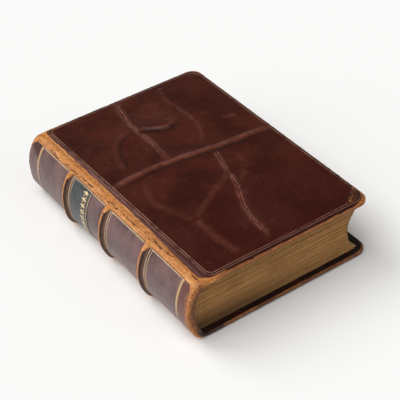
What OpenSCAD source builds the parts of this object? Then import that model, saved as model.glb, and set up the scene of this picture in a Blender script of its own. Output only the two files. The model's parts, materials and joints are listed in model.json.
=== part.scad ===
// A leather-bound prayer book lying closed on its back board.
// X runs from the spine (-) to the fore-edge (+), Y from the tail (-) to the head (+), Z from the back board up.
// The origin is the middle of the book's footprint, on the surface that it lies on.

/* [Book] */
// Height of the boards, tail to head
board_h = 190; // [170:1:210]
// Width of a board, from its spine edge to its fore-edge
board_w = 124; // [122:1:136]
// Thickness of the closed book over both boards
book_t = 43; // [38:0.5:50]

/* [Boards] */
// Thickness of the leather on the outside of a board
leather_t = 0.7; // [0.5:0.1:1]
// Thickness of the millboard
millboard_t = 2; // [1.6:0.1:2.6]
// Thickness of the leather turned in over a board's inner edge
turn_in_t = 0.5; // [0.4:0.1:0.7]
// Width of the leather turned in
turn_in_w = 13; // [8:1:18]
// Radius of a board's two fore-edge corners
fore_corner_r = 8; // [4:0.5:12]
// Radius of a board's two spine corners
spine_corner_r = 4; // [3:0.5:8]
// Thickness of the sheet pasted down inside a board
pastedown_t = 0.3; // [0.2:0.05:0.4]

/* [Spine] */
// Depth of the rounded back, from the joints to the outside of its panels
spine_depth = 13.9; // [12:0.1:16]
// Height that a raised band stands above the panels
band_proud = 2.2; // [1.5:0.1:2.6]
// Distance between two raised bands
band_pitch = 45; // [40:1:48]
// Thickness of the leather on the spine
spine_leather_t = 1; // [0.8:0.1:1.2]
// Radius of the shoulders of the rounded back
shoulder_r = 9; // [7:0.25:10]
// Radius of a sewing cord
cord_r = 1.2; // [1:0.1:1.3]

/* [Leaves] */
// Distance that a board stands past the leaves at the head and the tail
square_w = 4.5; // [3:0.5:6]
// Width of a leaf, from its fold to the fore-edge
leaf_w = 123; // [108:0.5:123.5]
// Depth of the rounding of the back, and of the hollow in the fore-edge
rounding = 6.5; // [5.5:0.5:7]

/* [Hidden] */
$fn = 48;
EPS = 0.01;

// Free space between pieces that move against each other
slack = 0.15;
// Distance from a joint's axis to the board's spine edge
joint_gap = 0.7;
cover_t = leather_t + millboard_t + turn_in_t;

total_w = band_proud + spine_depth + joint_gap + board_w;
axis_x = -total_w / 2 + band_proud + spine_depth;
board_x = axis_x + joint_gap;
fore_x = total_w / 2;
mid_z = book_t / 2;

// The leaves fill the space between the two boards.
block_h = board_h - 2 * square_w;
block_z0 = cover_t + slack;
block_z1 = book_t - cover_t - slack;
fold_x = axis_x - 5;
back_half = (block_z1 - block_z0) / 2;
back_r = (back_half * back_half + rounding * rounding) / (2 * rounding);
back_cx = fold_x - rounding + back_r;

// Leaves that turn, listed from each board inwards: thickness, and the distance from the joint at which they flex.
front_turning_t = [0.4, 1, 2.4, 4.4];
front_flex = [4, 5, 7, 10];
rear_turning_t = [0.4, 1.4, 3];
rear_flex = [4, 5.5, 8];
flex_gap = 0.3;

function sum_to(list, n) = n <= 0 ? 0 : list[n - 1] + sum_to(list, n - 1);
function back_at(z) = back_cx - sqrt(back_r * back_r - (z - mid_z) * (z - mid_z));
function front_z1(i) = block_z1 - sum_to(front_turning_t, i);
function front_z0(i) = block_z1 - sum_to(front_turning_t, i + 1);
function rear_z0(i) = block_z0 + sum_to(rear_turning_t, i);
function rear_z1(i) = block_z0 + sum_to(rear_turning_t, i + 1);

sections_z0 = block_z0 + sum_to(rear_turning_t, len(rear_turning_t));
sections_z1 = block_z1 - sum_to(front_turning_t, len(front_turning_t));

// The spine's outline is three arcs: one across the back, and one over each shoulder down to the joints.
spine_inset_z = 0.4;
spine_half = mid_z - spine_inset_z;
spine_flat = 1.5;
shoulder_dz = spine_half - shoulder_r;

band_y = [-band_pitch, 0, band_pitch];
// Each step of a raised band: width along the spine, and height above the panels.
band_steps = [[7.2, 0.8], [5.6, 1.6], [3.8, band_proud]];
band_fade = 0.25;
cord_bed_w = 2 * cord_r + 0.4;
cap_t = 1.2;
cap_w = 5.5;
shoulder_h = 1.2;
joint_strip_w = 4;
joint_strip_t = 0.33;
joint_reach = 0.3;

mull_t = 0.4;
lining_half = 16.5;
lining_clear = 0.05;
kettle_y = block_h / 2 - 10;
thread_r = 0.3;

band_core_r = 1;
band_silk_t = 0.3;
band_inset = 1.4;

slip_w = 12;
slip_l = 16;
slip_t = 0.5;

label_y0 = 18.5;
label_y1 = band_pitch - 6;
label_t = 0.35;
label_edge = 2.2;
gilt_t = 0.12;
gilt_w = 0.6;
end_gilt_y = board_h / 2 - 13;
lozenge_w = 7;

FRONT_LEAVES = ["front_flyleaf", "front_leaves_1", "front_leaves_2", "front_leaves_3"];
REAR_LEAVES = ["back_flyleaf", "rear_leaves_1", "rear_leaves_2"];
SECTIONS = ["section_01", "section_02", "section_03", "section_04", "section_05", "section_06",
            "section_07", "section_08", "section_09", "section_10", "section_11", "section_12"];
FRONT_FOLDS = ["front_flyleaf_fold", "front_leaves_1_fold", "front_leaves_2_fold", "front_leaves_3_fold"];
REAR_FOLDS = ["back_flyleaf_fold", "rear_leaves_1_fold", "rear_leaves_2_fold"];
CORDS = ["tail_sewing_cord", "middle_sewing_cord", "head_sewing_cord"];
section_t = (sections_z1 - sections_z0) / len(SECTIONS);

// ---- helpers ----

// Stands an outline drawn in X and Z between two heights along the spine.
module along_spine(y0, y1) {
  translate([0, y1, 0])
    rotate([90, 0, 0])
      linear_extrude(height = y1 - y0)
        children();
}

// Turns what is drawn for the back board over, for the front board.
module for_front() {
  translate([0, 0, book_t])
    mirror([0, 0, 1])
      children();
}

// Radius of the arc across the back, for an outline of the given depth and half height.
function crown_r(e, r) = (e * e + shoulder_dz * shoulder_dz - r * r) / (2 * (e - r));

// The spine's outline. The shoulders' centres stay put, so that two outlines of depths and heights
// that differ by the same amount are parallel.
module spine_solid(depth, half, past = 0) {
  r = half - shoulder_dz;
  big = crown_r(depth - spine_flat, r);
  big_x = axis_x - depth + big;
  reach = depth + 5;
  slope = shoulder_dz / (big_x - axis_x + spine_flat);
  translate([axis_x - spine_flat, mid_z - half])
    square([spine_flat + past, 2 * half]);
  for (s = [-1, 1])
    intersection() {
      translate([axis_x - spine_flat, mid_z + s * shoulder_dz])
        circle(r, $fn = 96);
      translate([axis_x - depth, mid_z - half])
        square([depth - spine_flat + EPS, 2 * half]);
    }
  intersection() {
    translate([big_x, mid_z])
      circle(big, $fn = 240);
    polygon([[axis_x - spine_flat, mid_z + shoulder_dz], [axis_x - reach, mid_z + shoulder_dz + slope * reach],
             [axis_x - reach, mid_z - shoulder_dz - slope * reach], [axis_x - spine_flat, mid_z - shoulder_dz]]);
  }
}

// A layer on the spine between two distances from the panels' face.
module spine_layer(from_d, to_d) {
  difference() {
    spine_solid(spine_depth + to_d, spine_half + to_d);
    spine_solid(spine_depth + from_d, spine_half + from_d, past = 1);
  }
}

// A board's outline, inset by the given distance at all edges but the spine's.
module board_outline(inset) {
  h = board_h / 2 - inset;
  fr = fore_corner_r - min(inset, fore_corner_r - 1);
  sr = spine_corner_r - min(inset, spine_corner_r - 1);
  union() {
    for (s = [-1, 1]) {
      translate([fore_x - inset - fr, s * (h - fr)]) circle(fr);
      translate([board_x + sr, s * (h - sr)]) circle(sr);
    }
    translate([board_x, -h + sr]) square([sr, 2 * (h - sr)]);
    translate([board_x + sr, -h]) square([fore_x - inset - fr - board_x - sr, 2 * h]);
    translate([fore_x - inset - fr - EPS, -h + fr]) square([fr + EPS, 2 * (h - fr)]);
  }
}

module board_plate(inset, z0, z1) {
  translate([0, 0, z0])
    linear_extrude(height = z1 - z0)
      board_outline(inset);
}

// A stack of leaves: folds on the rounded back, or cut off straight at x0; hollow fore-edge, or cut off at x1.
module leaf_stack(z0, z1, x0 = undef, x1 = undef) {
  left = is_undef(x0) ? fold_x - 2 * rounding : x0;
  right = is_undef(x1) ? back_cx + leaf_w : x1;
  along_spine(-block_h / 2, block_h / 2)
    difference() {
      intersection() {
        translate([left, z0]) square([right - left, z1 - z0]);
        if (is_undef(x0))
          union() {
            translate([back_cx, mid_z]) circle(back_r, $fn = 240);
            translate([back_cx, z0 - 1]) square([leaf_w, z1 - z0 + 2]);
          }
      }
      if (is_undef(x1))
        translate([back_cx + leaf_w, mid_z]) circle(back_r, $fn = 240);
    }
}

// A round cord laid on the back of the leaves, off their surface by its own radius.
module cord_on_back(y, r, half_height) {
  path_r = back_r + r;
  a = asin(half_height / path_r);
  translate([back_cx, y, mid_z])
    rotate([90, 0, 0])
      rotate([0, 0, 180 - a])
        rotate_extrude(angle = 2 * a, $fn = 96)
          translate([path_r, 0])
            circle(r, $fn = 24);
}

// Keeps what lies within the lining's height and outside a distance from the backs of the sections.
module beyond_back(d) {
  difference() {
    intersection() {
      children();
      translate([axis_x - 2 * spine_depth, mid_z - lining_half])
        square([2 * spine_depth, 2 * lining_half]);
    }
    translate([back_cx, mid_z]) circle(back_r + d, $fn = 240);
  }
}

// ---- covers ----

module cord_slips_raw(grow = 0) {
  for (y = band_y)
    translate([board_x - grow, y - slip_w / 2 - grow, leather_t - grow])
      cube([slip_l + 2 * grow, slip_w + 2 * grow, slip_t + grow]);
}

module millboard() {
  color("tan")
    difference() {
      board_plate(leather_t, leather_t, leather_t + millboard_t);
      cord_slips_raw(EPS);
    }
}

module cord_slips() {
  color("wheat") cord_slips_raw();
}

module cover_leather() {
  color("saddlebrown")
    difference() {
      board_plate(0, 0, cover_t);
      translate([-1, 0, 0]) board_plate(leather_t, leather_t, leather_t + millboard_t);
      board_plate(leather_t, leather_t, leather_t + millboard_t);
      board_window(turn_in_w, leather_t + millboard_t - EPS, cover_t + 1, 1);
    }
}

// The part of a board's inner face that the turned-in leather leaves free.
module board_window(inset, z0, z1, past = 0) {
  translate([board_x - past, -board_h / 2 + inset, z0])
    cube([fore_x - inset - board_x + past, board_h - 2 * inset, z1 - z0]);
}

module pastedown() {
  z0 = leather_t + millboard_t;
  color("antiquewhite")
    board_window(turn_in_w, z0, z0 + pastedown_t);
}

module back_board() millboard();
module back_cord_slips() cord_slips();
module back_cover_leather() cover_leather();
module back_pastedown() pastedown();
module front_board() for_front() millboard();
module front_cord_slips() for_front() cord_slips();
module front_cover_leather() for_front() cover_leather();
module front_pastedown() for_front() pastedown();

// ---- leaves ----

module front_turning(i) {
  color("burlywood")
    leaf_stack(front_z0(i), front_z1(i), x0 = axis_x + front_flex[i]);
}

module rear_turning(i) {
  color("burlywood")
    leaf_stack(rear_z0(i), rear_z1(i), x0 = axis_x + rear_flex[i]);
}

module section(i) {
  color("burlywood")
    leaf_stack(sections_z0 + i * section_t, sections_z0 + (i + 1) * section_t);
}

// The outermost fold is backed over, so that the board butts against a shoulder.
module shoulder() {
  along_spine(-block_h / 2, block_h / 2)
    polygon([[axis_x - 4.4, block_z1 - EPS], [axis_x - 3, block_z1 + shoulder_h],
             [axis_x - 0.8, block_z1 + shoulder_h], [axis_x - 0.3, block_z1 - EPS]]);
}

module front_fold(i) {
  color("burlywood") {
    if (i == 0) shoulder();
    leaf_stack(front_z0(i), front_z1(i), x1 = axis_x + front_flex[i] - flex_gap);
  }
}

module rear_fold(i) {
  color("burlywood") {
    if (i == 0) for_front() shoulder();
    leaf_stack(rear_z0(i), rear_z1(i), x1 = axis_x + rear_flex[i] - flex_gap);
  }
}

// ---- sewing and linings ----

module sewing_cord(i) {
  color("linen") cord_on_back(band_y[i], cord_r, lining_half - cord_r);
}

module sewing_thread() {
  color("ivory")
    for (y = [-kettle_y, kettle_y])
      cord_on_back(y, thread_r, lining_half);
}

// Stretches of the back between the kettle stitches and the cords, each short of them by a margin.
lining_stops = concat([-block_h / 2 + 1], [-kettle_y], band_y, [kettle_y], [block_h / 2 - 1]);
lining_margin = cord_bed_w / 2 + 0.6;

module lining_panels() {
  for (i = [0 : len(lining_stops) - 2])
    along_spine(lining_stops[i] + (i == 0 ? 0 : lining_margin),
                lining_stops[i + 1] - (i == len(lining_stops) - 2 ? 0 : lining_margin))
      children();
}

module spine_mull() {
  color("beige")
    lining_panels()
      beyond_back(0)
        translate([back_cx, mid_z]) circle(back_r + mull_t, $fn = 240);
}

module spine_paper_lining() {
  d = spine_leather_t + lining_clear;
  color("tan")
    lining_panels()
      beyond_back(mull_t)
        spine_solid(spine_depth - d, spine_half - d);
}

// ---- endbands ----

// side is 1 at the head and -1 at the tail
module endband_ring(side, r0, r1) {
  path_r = back_r - band_inset;
  a = asin((lining_half - 1) / path_r);
  translate([back_cx, side * (block_h / 2 + band_core_r + band_silk_t), mid_z])
    rotate([90, 0, 0])
      rotate([0, 0, 180 - a])
        rotate_extrude(angle = 2 * a, $fn = 96)
          translate([path_r, 0])
            difference() {
              circle(r1, $fn = 24);
              if (r0 > 0) circle(r0, $fn = 24);
            }
}

module endband_core(side) {
  color("wheat") endband_ring(side, 0, band_core_r);
}

module endband_silk(side) {
  color("firebrick") endband_ring(side, band_core_r, band_core_r + band_silk_t);
}

// ---- spine ----

// A band fades out over the shoulders, where its outline runs just below the panels'.
module raised_band(y) {
  for (s = band_steps)
    along_spine(y - s[0] / 2, y + s[0] / 2)
      spine_solid(spine_depth + s[1], spine_half - band_fade);
}

module spine_leather() {
  h = board_h / 2;
  color("saddlebrown")
    difference() {
      union() {
        along_spine(-h, h) spine_solid(spine_depth, spine_half);
        for (y = band_y) raised_band(y);
      }
      along_spine(-h + cap_t, h - cap_t)
        spine_solid(spine_depth - spine_leather_t, spine_half - spine_leather_t, past = 1);
      along_spine(-h - 1, h + 1)
        spine_solid(spine_depth - cap_w, spine_half - spine_leather_t - 2, past = 1);
      for (y = band_y)
        along_spine(y - cord_bed_w / 2, y + cord_bed_w / 2)
          beyond_back(0)
            translate([back_cx, mid_z]) circle(back_r + 2 * cord_r + lining_clear, $fn = 240);
    }
}

module joint_strip() {
  translate([axis_x - joint_strip_w, -board_h / 2 + spine_corner_r, book_t - spine_inset_z])
    cube([joint_strip_w + joint_reach, board_h - 2 * spine_corner_r, joint_strip_t]);
}

module front_joint_leather() {
  color("peru") joint_strip();
}

module back_joint_leather() {
  color("peru") for_front() joint_strip();
}

// Keeps only what lies between the two edges of the spine's panels.
module panel_zone(edge) {
  intersection() {
    children();
    translate([axis_x - 2 * spine_depth, mid_z - spine_half + edge])
      square([2 * spine_depth, 2 * (spine_half - edge)]);
  }
}

module title_label() {
  color("black")
    along_spine(label_y0, label_y1)
      panel_zone(label_edge) spine_layer(0, label_t);
}

panel_edge = 1.4;
double_gap = 1.3;

// Gilt lines round the spine: one near each end, and two on the tail side of each raised band.
module gilt_round(y) {
  along_spine(y - gilt_w / 2, y + gilt_w / 2)
    panel_zone(panel_edge) spine_layer(0, gilt_t);
}

// Gilt lines along both edges of a panel.
module gilt_along(y0, y1) {
  along_spine(y0, y1)
    difference() {
      panel_zone(panel_edge) spine_layer(0, gilt_t);
      translate([axis_x - 2 * spine_depth, mid_z - spine_half + panel_edge + gilt_w])
        square([2 * spine_depth, 2 * (spine_half - panel_edge - gilt_w)]);
    }
}

// Gilt on the label: a line along its head and tail edges, and a lozenge with a smaller one cut out.
module label_gilt() {
  color("gold") {
    for (y = [label_y0 + 1.2, label_y1 - 1.2 - gilt_w])
      along_spine(y, y + gilt_w)
        panel_zone(label_edge + 1) spine_layer(label_t, label_t + gilt_t);
    intersection() {
      along_spine(label_y0, label_y1) spine_layer(label_t, label_t + gilt_t);
      translate([axis_x - 2 * spine_depth, (label_y0 + label_y1) / 2, mid_z])
        rotate([0, 90, 0])
          linear_extrude(height = 2 * spine_depth)
            rotate(45)
              difference() {
                square(lozenge_w, center = true);
                square(lozenge_w - 2 * gilt_w, center = true);
              }
    }
  }
}

panel_starts = concat([-end_gilt_y], [for (y = band_y) y + 4]);
panel_ends = concat([for (y = band_y) y - 4 - double_gap], [end_gilt_y]);

module spine_gilt_fillets() {
  color("gold") {
    for (s = [-1, 1]) gilt_round(s * (end_gilt_y + gilt_w));
    for (y = band_y) {
      gilt_round(y - 4 - gilt_w / 2);
      gilt_round(y - 4 - gilt_w / 2 - double_gap);
    }
    for (i = [0 : 3])
      gilt_along(panel_starts[i], panel_ends[i] - gilt_w);
  }
}

// ---- the nodes ----

back_board();
back_cord_slips();
back_cover_leather();
back_pastedown();
front_board();
front_cord_slips();
front_cover_leather();
front_pastedown();
for (i = [0 : len(FRONT_LEAVES) - 1])
  front_turning(i);
for (i = [0 : len(REAR_LEAVES) - 1])
  rear_turning(i);
for (i = [0 : len(SECTIONS) - 1])
  section(i);
for (i = [0 : len(FRONT_FOLDS) - 1])
  front_fold(i);
for (i = [0 : len(REAR_FOLDS) - 1])
  rear_fold(i);
for (i = [0 : len(CORDS) - 1])
  sewing_cord(i);
sewing_thread();
spine_mull();
spine_paper_lining();
endband_core(1);  // head_endband_core
endband_silk(1);  // head_endband_silk
endband_core(-1);  // tail_endband_core
endband_silk(-1);  // tail_endband_silk
spine_leather();
front_joint_leather();
back_joint_leather();
title_label();
label_gilt();
spine_gilt_fillets();
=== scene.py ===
import json
import math

import bpy
import numpy as np
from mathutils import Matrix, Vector


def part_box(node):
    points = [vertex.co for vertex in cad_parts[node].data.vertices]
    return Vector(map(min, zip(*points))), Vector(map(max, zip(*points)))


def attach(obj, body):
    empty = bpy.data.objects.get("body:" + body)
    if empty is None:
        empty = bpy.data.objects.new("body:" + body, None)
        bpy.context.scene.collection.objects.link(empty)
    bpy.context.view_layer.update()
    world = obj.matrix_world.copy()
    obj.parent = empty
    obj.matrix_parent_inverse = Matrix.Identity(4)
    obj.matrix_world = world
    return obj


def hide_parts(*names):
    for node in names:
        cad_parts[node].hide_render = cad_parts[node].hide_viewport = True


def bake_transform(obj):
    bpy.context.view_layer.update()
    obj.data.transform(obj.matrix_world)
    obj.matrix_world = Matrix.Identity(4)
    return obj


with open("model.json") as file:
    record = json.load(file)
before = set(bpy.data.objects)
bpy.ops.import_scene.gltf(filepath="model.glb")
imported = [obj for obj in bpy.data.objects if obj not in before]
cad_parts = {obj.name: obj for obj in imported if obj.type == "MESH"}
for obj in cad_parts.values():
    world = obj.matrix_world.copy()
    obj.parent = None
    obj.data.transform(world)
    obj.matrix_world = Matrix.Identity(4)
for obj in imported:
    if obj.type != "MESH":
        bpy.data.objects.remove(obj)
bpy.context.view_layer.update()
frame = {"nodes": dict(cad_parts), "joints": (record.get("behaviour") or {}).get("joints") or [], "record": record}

# ---------------------------------------------------------------- dimensions, in mm, read from the frame

MM = 0.001


def box_mm(node):
    low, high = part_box(node)
    return np.array(low) / MM, np.array(high) / MM


joint_at = {j["name"]: np.array(j["pos_m"]) / MM for j in frame["joints"]}
AXIS_X = joint_at["front_joint"][0]
TOP = joint_at["front_joint"][2]
MID_Z = TOP / 2
cover_low, cover_high = box_mm("front_cover_leather")
BOARD_X0, BOARD_X1 = cover_low[0], cover_high[0]
HALF_Y = cover_high[1]
COVER_T = cover_high[2] - cover_low[2]
TURN_IN = 13.0
FORE_CORNER_R = 8.0

# the spine's outline: a flat stretch at each joint, an arc over each shoulder and one across the back
BAND_PROUD = 2.2
PANEL_DEPTH = AXIS_X - box_mm("spine_leather")[0][0] - BAND_PROUD
SPINE_HALF = box_mm("spine_leather")[1][2] - MID_Z
SHOULDER_R = 9.0
SPINE_FLAT = 1.5
SHOULDER_DZ = SPINE_HALF - SHOULDER_R
SEAM_X = AXIS_X - SPINE_FLAT
CORDS = [box_mm(place + "_sewing_cord") for place in ("tail", "middle", "head")]
BAND_Y = [low[1] / 2 + high[1] / 2 for low, high in CORDS]

# the leaves
BLOCK_Y = box_mm("section_01")[1][1]
BACK_HALF = (box_mm("front_flyleaf")[1][2] - box_mm("back_flyleaf")[0][2]) / 2
FOLD_X = AXIS_X - 5.0
ROUNDING = 6.5
LEAF_W = 123.0
BACK_R = (BACK_HALF ** 2 + ROUNDING ** 2) / (2 * ROUNDING)
BACK_CX = FOLD_X - ROUNDING + BACK_R


# ---------------------------------------------------------------- helpers

def smooth(t):
    t = np.clip(t, 0.0, 1.0)
    return t * t * (3 - 2 * t)


def gauss(d, width):
    return np.exp(-(d / width) ** 2)


def noise(x, y, cell, seed, octaves=1):
    """Smooth noise from about -1 to 1 at points in mm, with lumps about cell mm across."""
    total, size = 0.0, 1.0
    for k in range(octaves):
        table = np.random.default_rng(seed + 31 * k).uniform(-1, 1, (128, 128))
        gx, gy = x / cell * 2 ** k + 900.0, y / cell * 2 ** k + 900.0
        ix, iy = np.floor(gx).astype(int), np.floor(gy).astype(int)
        fx, fy = smooth(gx - ix), smooth(gy - iy)
        ix, iy, jx, jy = ix % 128, iy % 128, (ix + 1) % 128, (iy + 1) % 128
        low = table[ix, iy] * (1 - fx) + table[jx, iy] * fx
        high = table[ix, jy] * (1 - fx) + table[jx, jy] * fx
        total = total + (low * (1 - fy) + high * fy) * size
        size *= 0.5
    return total


def distance_to_path(x, y, points):
    """Signed distance in mm from each point to a line through the given points, and how far along it the
    nearest place is, from 0 to 1."""
    p = np.array(points, float)
    lengths = np.hypot(*(p[1:] - p[:-1]).T)
    run = np.concatenate([[0], np.cumsum(lengths)])
    best, along, side = np.full(np.shape(x), 1e9), np.zeros(np.shape(x)), np.ones(np.shape(x))
    for a, b, length, start in zip(p[:-1], p[1:], lengths, run):
        d = (b - a) / length
        t = np.clip((x - a[0]) * d[0] + (y - a[1]) * d[1], 0, length)
        off = np.hypot(x - a[0] - t * d[0], y - a[1] - t * d[1])
        near = off < best
        best = np.where(near, off, best)
        along = np.where(near, (start + t) / run[-1], along)
        side = np.where(near, np.where((x - a[0]) * d[1] > (y - a[1]) * d[0], 1.0, -1.0), side)
    return best * side, along


def rounded(points, rounds=2):
    """The points with their corners cut, so that the line through them is smooth."""
    p = np.array(points, float)
    for _ in range(rounds):
        q = [p[0]]
        for a, b in zip(p[:-1], p[1:]):
            q += [a * 0.75 + b * 0.25, a * 0.25 + b * 0.75]
        p = np.array(q + [p[-1]])
    return p


def add_mesh(name, verts, faces, material, **attributes):
    """A mesh object from points in mm. Every mesh keeps its rest position in mm, for its material."""
    mesh = bpy.data.meshes.new(name)
    verts = np.reshape(verts, (-1, 3))
    mesh.from_pydata((verts * MM).tolist(), [], faces)
    rest = mesh.attributes.new("rest", "FLOAT_VECTOR", "POINT")
    rest.data.foreach_set("vector", verts.astype(np.float32).ravel())
    for key, values in attributes.items():
        layer = mesh.attributes.new(key, "FLOAT", "POINT")
        layer.data.foreach_set("value", np.asarray(values, np.float32).ravel())
    mesh.validate()
    mesh.update()
    mesh.shade_smooth()
    mesh.materials.append(material)
    obj = bpy.data.objects.new(name, mesh)
    bpy.context.scene.collection.objects.link(obj)
    return obj


def thicken(obj, thickness):
    """Gives a surface a thickness in mm on its inner side, as real geometry."""
    solid = obj.modifiers.new("skin", "SOLIDIFY")
    solid.thickness = thickness * MM
    solid.offset = -1
    solid.use_even_offset = False
    evaluated = obj.evaluated_get(bpy.context.evaluated_depsgraph_get())
    mesh = bpy.data.meshes.new_from_object(evaluated)
    obj.modifiers.clear()
    old, obj.data = obj.data, mesh
    mesh.name = obj.name
    bpy.data.meshes.remove(old)
    return obj


def grid_faces(index, flip=False):
    """Quads over a grid of vertex numbers."""
    a, b, c, d = index[:-1, :-1], index[1:, :-1], index[1:, 1:], index[:-1, 1:]
    order = (a, d, c, b) if flip else (a, b, c, d)
    return np.stack([o.ravel() for o in order], 1).tolist()


def spaced(low, high, step, near_low=(0,), near_high=(0,)):
    """Values from low to high, step mm apart, but closer by each end, at the given distances from it."""
    start, stop = low + near_low[-1], high - near_high[-1]
    count = max(2, int(round((stop - start) / step)) + 1)
    by_low, by_high = low + np.array(near_low[:-1]), high - np.array(near_high[-2::-1])
    return np.concatenate([by_low, np.linspace(start, stop, count), by_high])


def outer_loop(nx, ny, closed=True):
    """The places on a grid's edges: along the lowest y, the highest x and the highest y, and, if it is closed,
    back along the lowest x."""
    loop = [(i, 0) for i in range(nx)] + [(nx - 1, j) for j in range(1, ny)]
    loop += [(i, ny - 1) for i in range(nx - 2, -1, -1)]
    return loop + [(0, j) for j in range(ny - 2, 0, -1)] if closed else loop


# ---------------------------------------------------------------- materials

def srgb(r, g, b):
    """A colour given as it looks on a screen, 0 to 255, for a shader."""
    def lin(v):
        v /= 255.0
        return v / 12.92 if v <= 0.04045 else ((v + 0.055) / 1.055) ** 2.4
    return (lin(r), lin(g), lin(b), 1.0)


class Value:
    """An output in a shader's node tree, which can be used in formulas."""

    def __init__(self, shader, socket):
        self.shader, self.socket = shader, socket

    def __add__(self, other):
        return self.shader.math("ADD", self, other)

    def __sub__(self, other):
        return self.shader.math("SUBTRACT", self, other)

    def __mul__(self, other):
        return self.shader.math("MULTIPLY", self, other)

    def __abs__(self):
        return self.shader.math("ABSOLUTE", self)


class Shader:
    """A material's node tree, built up from short calls."""

    def __init__(self, name, on_cad=False):
        self.material = bpy.data.materials.new(name)
        self.material.use_nodes = True
        self.tree = self.material.node_tree
        self.bsdf = self.tree.nodes["Principled BSDF"]
        if on_cad:
            coords = self.output("ShaderNodeTexCoord", "Object")
            self.rest = self.vector("SCALE", coords, scale=1 / MM)
        else:
            self.rest = self.attribute("rest", "Vector")

    def link(self, value, socket):
        if isinstance(value, Value):
            self.tree.links.new(value.socket, socket)
        elif value is not None:
            socket.default_value = value

    def output(self, kind, out, inputs=(), **settings):
        """An output of a new node, with its inputs given in order or by name."""
        node = self.tree.nodes.new(kind)
        for key, value in settings.items():
            setattr(node, key, value)
        for key, value in inputs.items() if isinstance(inputs, dict) else enumerate(inputs):
            self.link(value, node.inputs[key])
        return Value(self, node.outputs[out])

    def attribute(self, name, out="Fac"):
        return self.output("ShaderNodeAttribute", out, attribute_name=name)

    def math(self, op, *values):
        return self.output("ShaderNodeMath", 0, values, operation=op)

    def vector(self, op, a, b=None, scale=None):
        return self.output("ShaderNodeVectorMath", "Vector", {0: a, 1: b, 3: scale}, operation=op)

    def xyz(self):
        return [self.output("ShaderNodeSeparateXYZ", k, [self.rest]) for k in range(3)]

    def noise(self, size, detail=3, rough=0.55, stretch=None, distortion=0, out="Fac"):
        """Noise from 0 to 1 with lumps about size mm across, or less along an axis that is stretched."""
        place = self.vector("MULTIPLY", self.rest, stretch) if stretch else self.rest
        return self.output("ShaderNodeTexNoise", out, {
            "Vector": place, "Scale": 1 / size, "Detail": detail, "Roughness": rough, "Distortion": distortion})

    def cells(self, size, feature, source=None):
        inputs = {"Vector": source or self.rest, "Scale": 1 / size}
        return self.output("ShaderNodeTexVoronoi", "Distance", inputs, feature=feature)

    def ramp(self, value, low, high, out_low=0, out_high=1):
        """value from low to high, eased, as out_low to out_high."""
        inputs = (value, low, high, out_low, out_high)
        return self.output("ShaderNodeMapRange", 0, inputs, interpolation_type="SMOOTHSTEP")

    def fall(self, value, low, high):
        return self.ramp(value, low, high, 1, 0)

    def mix(self, share, a, b):
        """Colour a with a share of colour b."""
        return self.output("ShaderNodeMix", 2, {0: share, 6: a, 7: b}, data_type="RGBA")

    def layers(self, color, *layers):
        """A colour with others laid over it one by one, each given as its share and its tone."""
        for share, tone in layers:
            color = self.mix(share, color, tone)
        return color

    def either(self, *values):
        """The highest of the values."""
        total = values[0]
        for v in values[1:]:
            total = self.math("MAXIMUM", total, v)
        return total

    def bump(self, height, depth_mm, strength=1):
        """Bumps from a height of 0 to 1 that stands for depth_mm."""
        inputs = {"Strength": strength, "Distance": depth_mm * MM, "Height": height}
        normal = self.output("ShaderNodeBump", "Normal", inputs)
        self.link(normal, self.bsdf.inputs["Normal"])

    def finish(self, color, roughness, **constants):
        self.link(color, self.bsdf.inputs["Base Color"])
        self.link(roughness, self.bsdf.inputs["Roughness"])
        for key, value in constants.items():
            self.bsdf.inputs[key.replace("_", " ")].default_value = value
        return self.material


# the leather's colours
CHESTNUT_DEEP = srgb(52, 14, 4)
CHESTNUT = srgb(70, 23, 9)
CHESTNUT_RED = srgb(91, 38, 22)
CREASE = srgb(156, 94, 78)
CREASE_SOFT = srgb(112, 58, 40)
TAN = srgb(198, 127, 62)
TAN_LIGHT = srgb(228, 170, 106)
TAN_DARK = srgb(152, 88, 38)
EDGE_BROWN = srgb(132, 76, 36)
CHIP = srgb(40, 17, 9)
CRACK = srgb(88, 38, 12)
SLOPE = srgb(66, 36, 22)
# near-black painted shade for leather tucked in under the boards and the caps
TUCKED_IN_SHADE = srgb(20, 8, 6)
PLUM = srgb(112, 84, 82)
PLUM_DARK = srgb(76, 54, 54)
PLUM_RED = srgb(112, 69, 59)
TOOLED = srgb(186, 134, 108)
GOLD = srgb(216, 186, 142)
SLATE = srgb(45, 49, 50)


def worn_leather(s, dark, tan_share, chips, brown, brown_tone):
    """Colour of leather that is rubbed to its tan inside where tan_share is high, with dark chips left in it,
    and nearer brown_tone where brown is high."""
    fibre = s.noise(0.9, 4, 0.7, (1, 0.4, 1))
    streak = s.noise(1.8, 4, 0.65, (1, 0.16, 1), 0.6)
    hairline = abs(s.noise(2.8, 4, 0.6, (1, 0.16, 1), 0.4) - 0.5)
    cloud = s.noise(6, 3, 0.6)
    grit = s.noise(1.5, 3, 0.7)
    rim = s.ramp(tan_share, 0.05, 0.5) * s.fall(tan_share, 0.5, 0.95)
    tan = s.layers(
        TAN_DARK,
        (s.ramp(cloud, 0.28, 0.55, 0.45, 1), TAN),
        (s.ramp(streak, 0.5, 0.72, 0, 0.6), TAN_LIGHT),
        (s.ramp(streak, 0.32, 0.46, 0.55, 0), TAN_DARK),
        (s.ramp(fibre, 0.56, 0.72, 0, 0.4), TAN_DARK),
        (s.ramp(grit, 0.53, 0.66, 0, 0.65), TAN_DARK),
        (s.ramp(grit, 0.34, 0.47, 0.6, 0), TAN_LIGHT),
        (s.ramp(hairline, 0, 0.014, 0.75, 0) * s.ramp(cloud, 0.36, 0.56), srgb(92, 48, 20)),
        (brown * s.ramp(cloud, 0.35, 0.65, 0.95, 0.6), brown_tone),
        (chips * 0.93, CRACK))
    return s.layers(dark, (tan_share, tan), (rim * 0.6, TAN_DARK))


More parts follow.
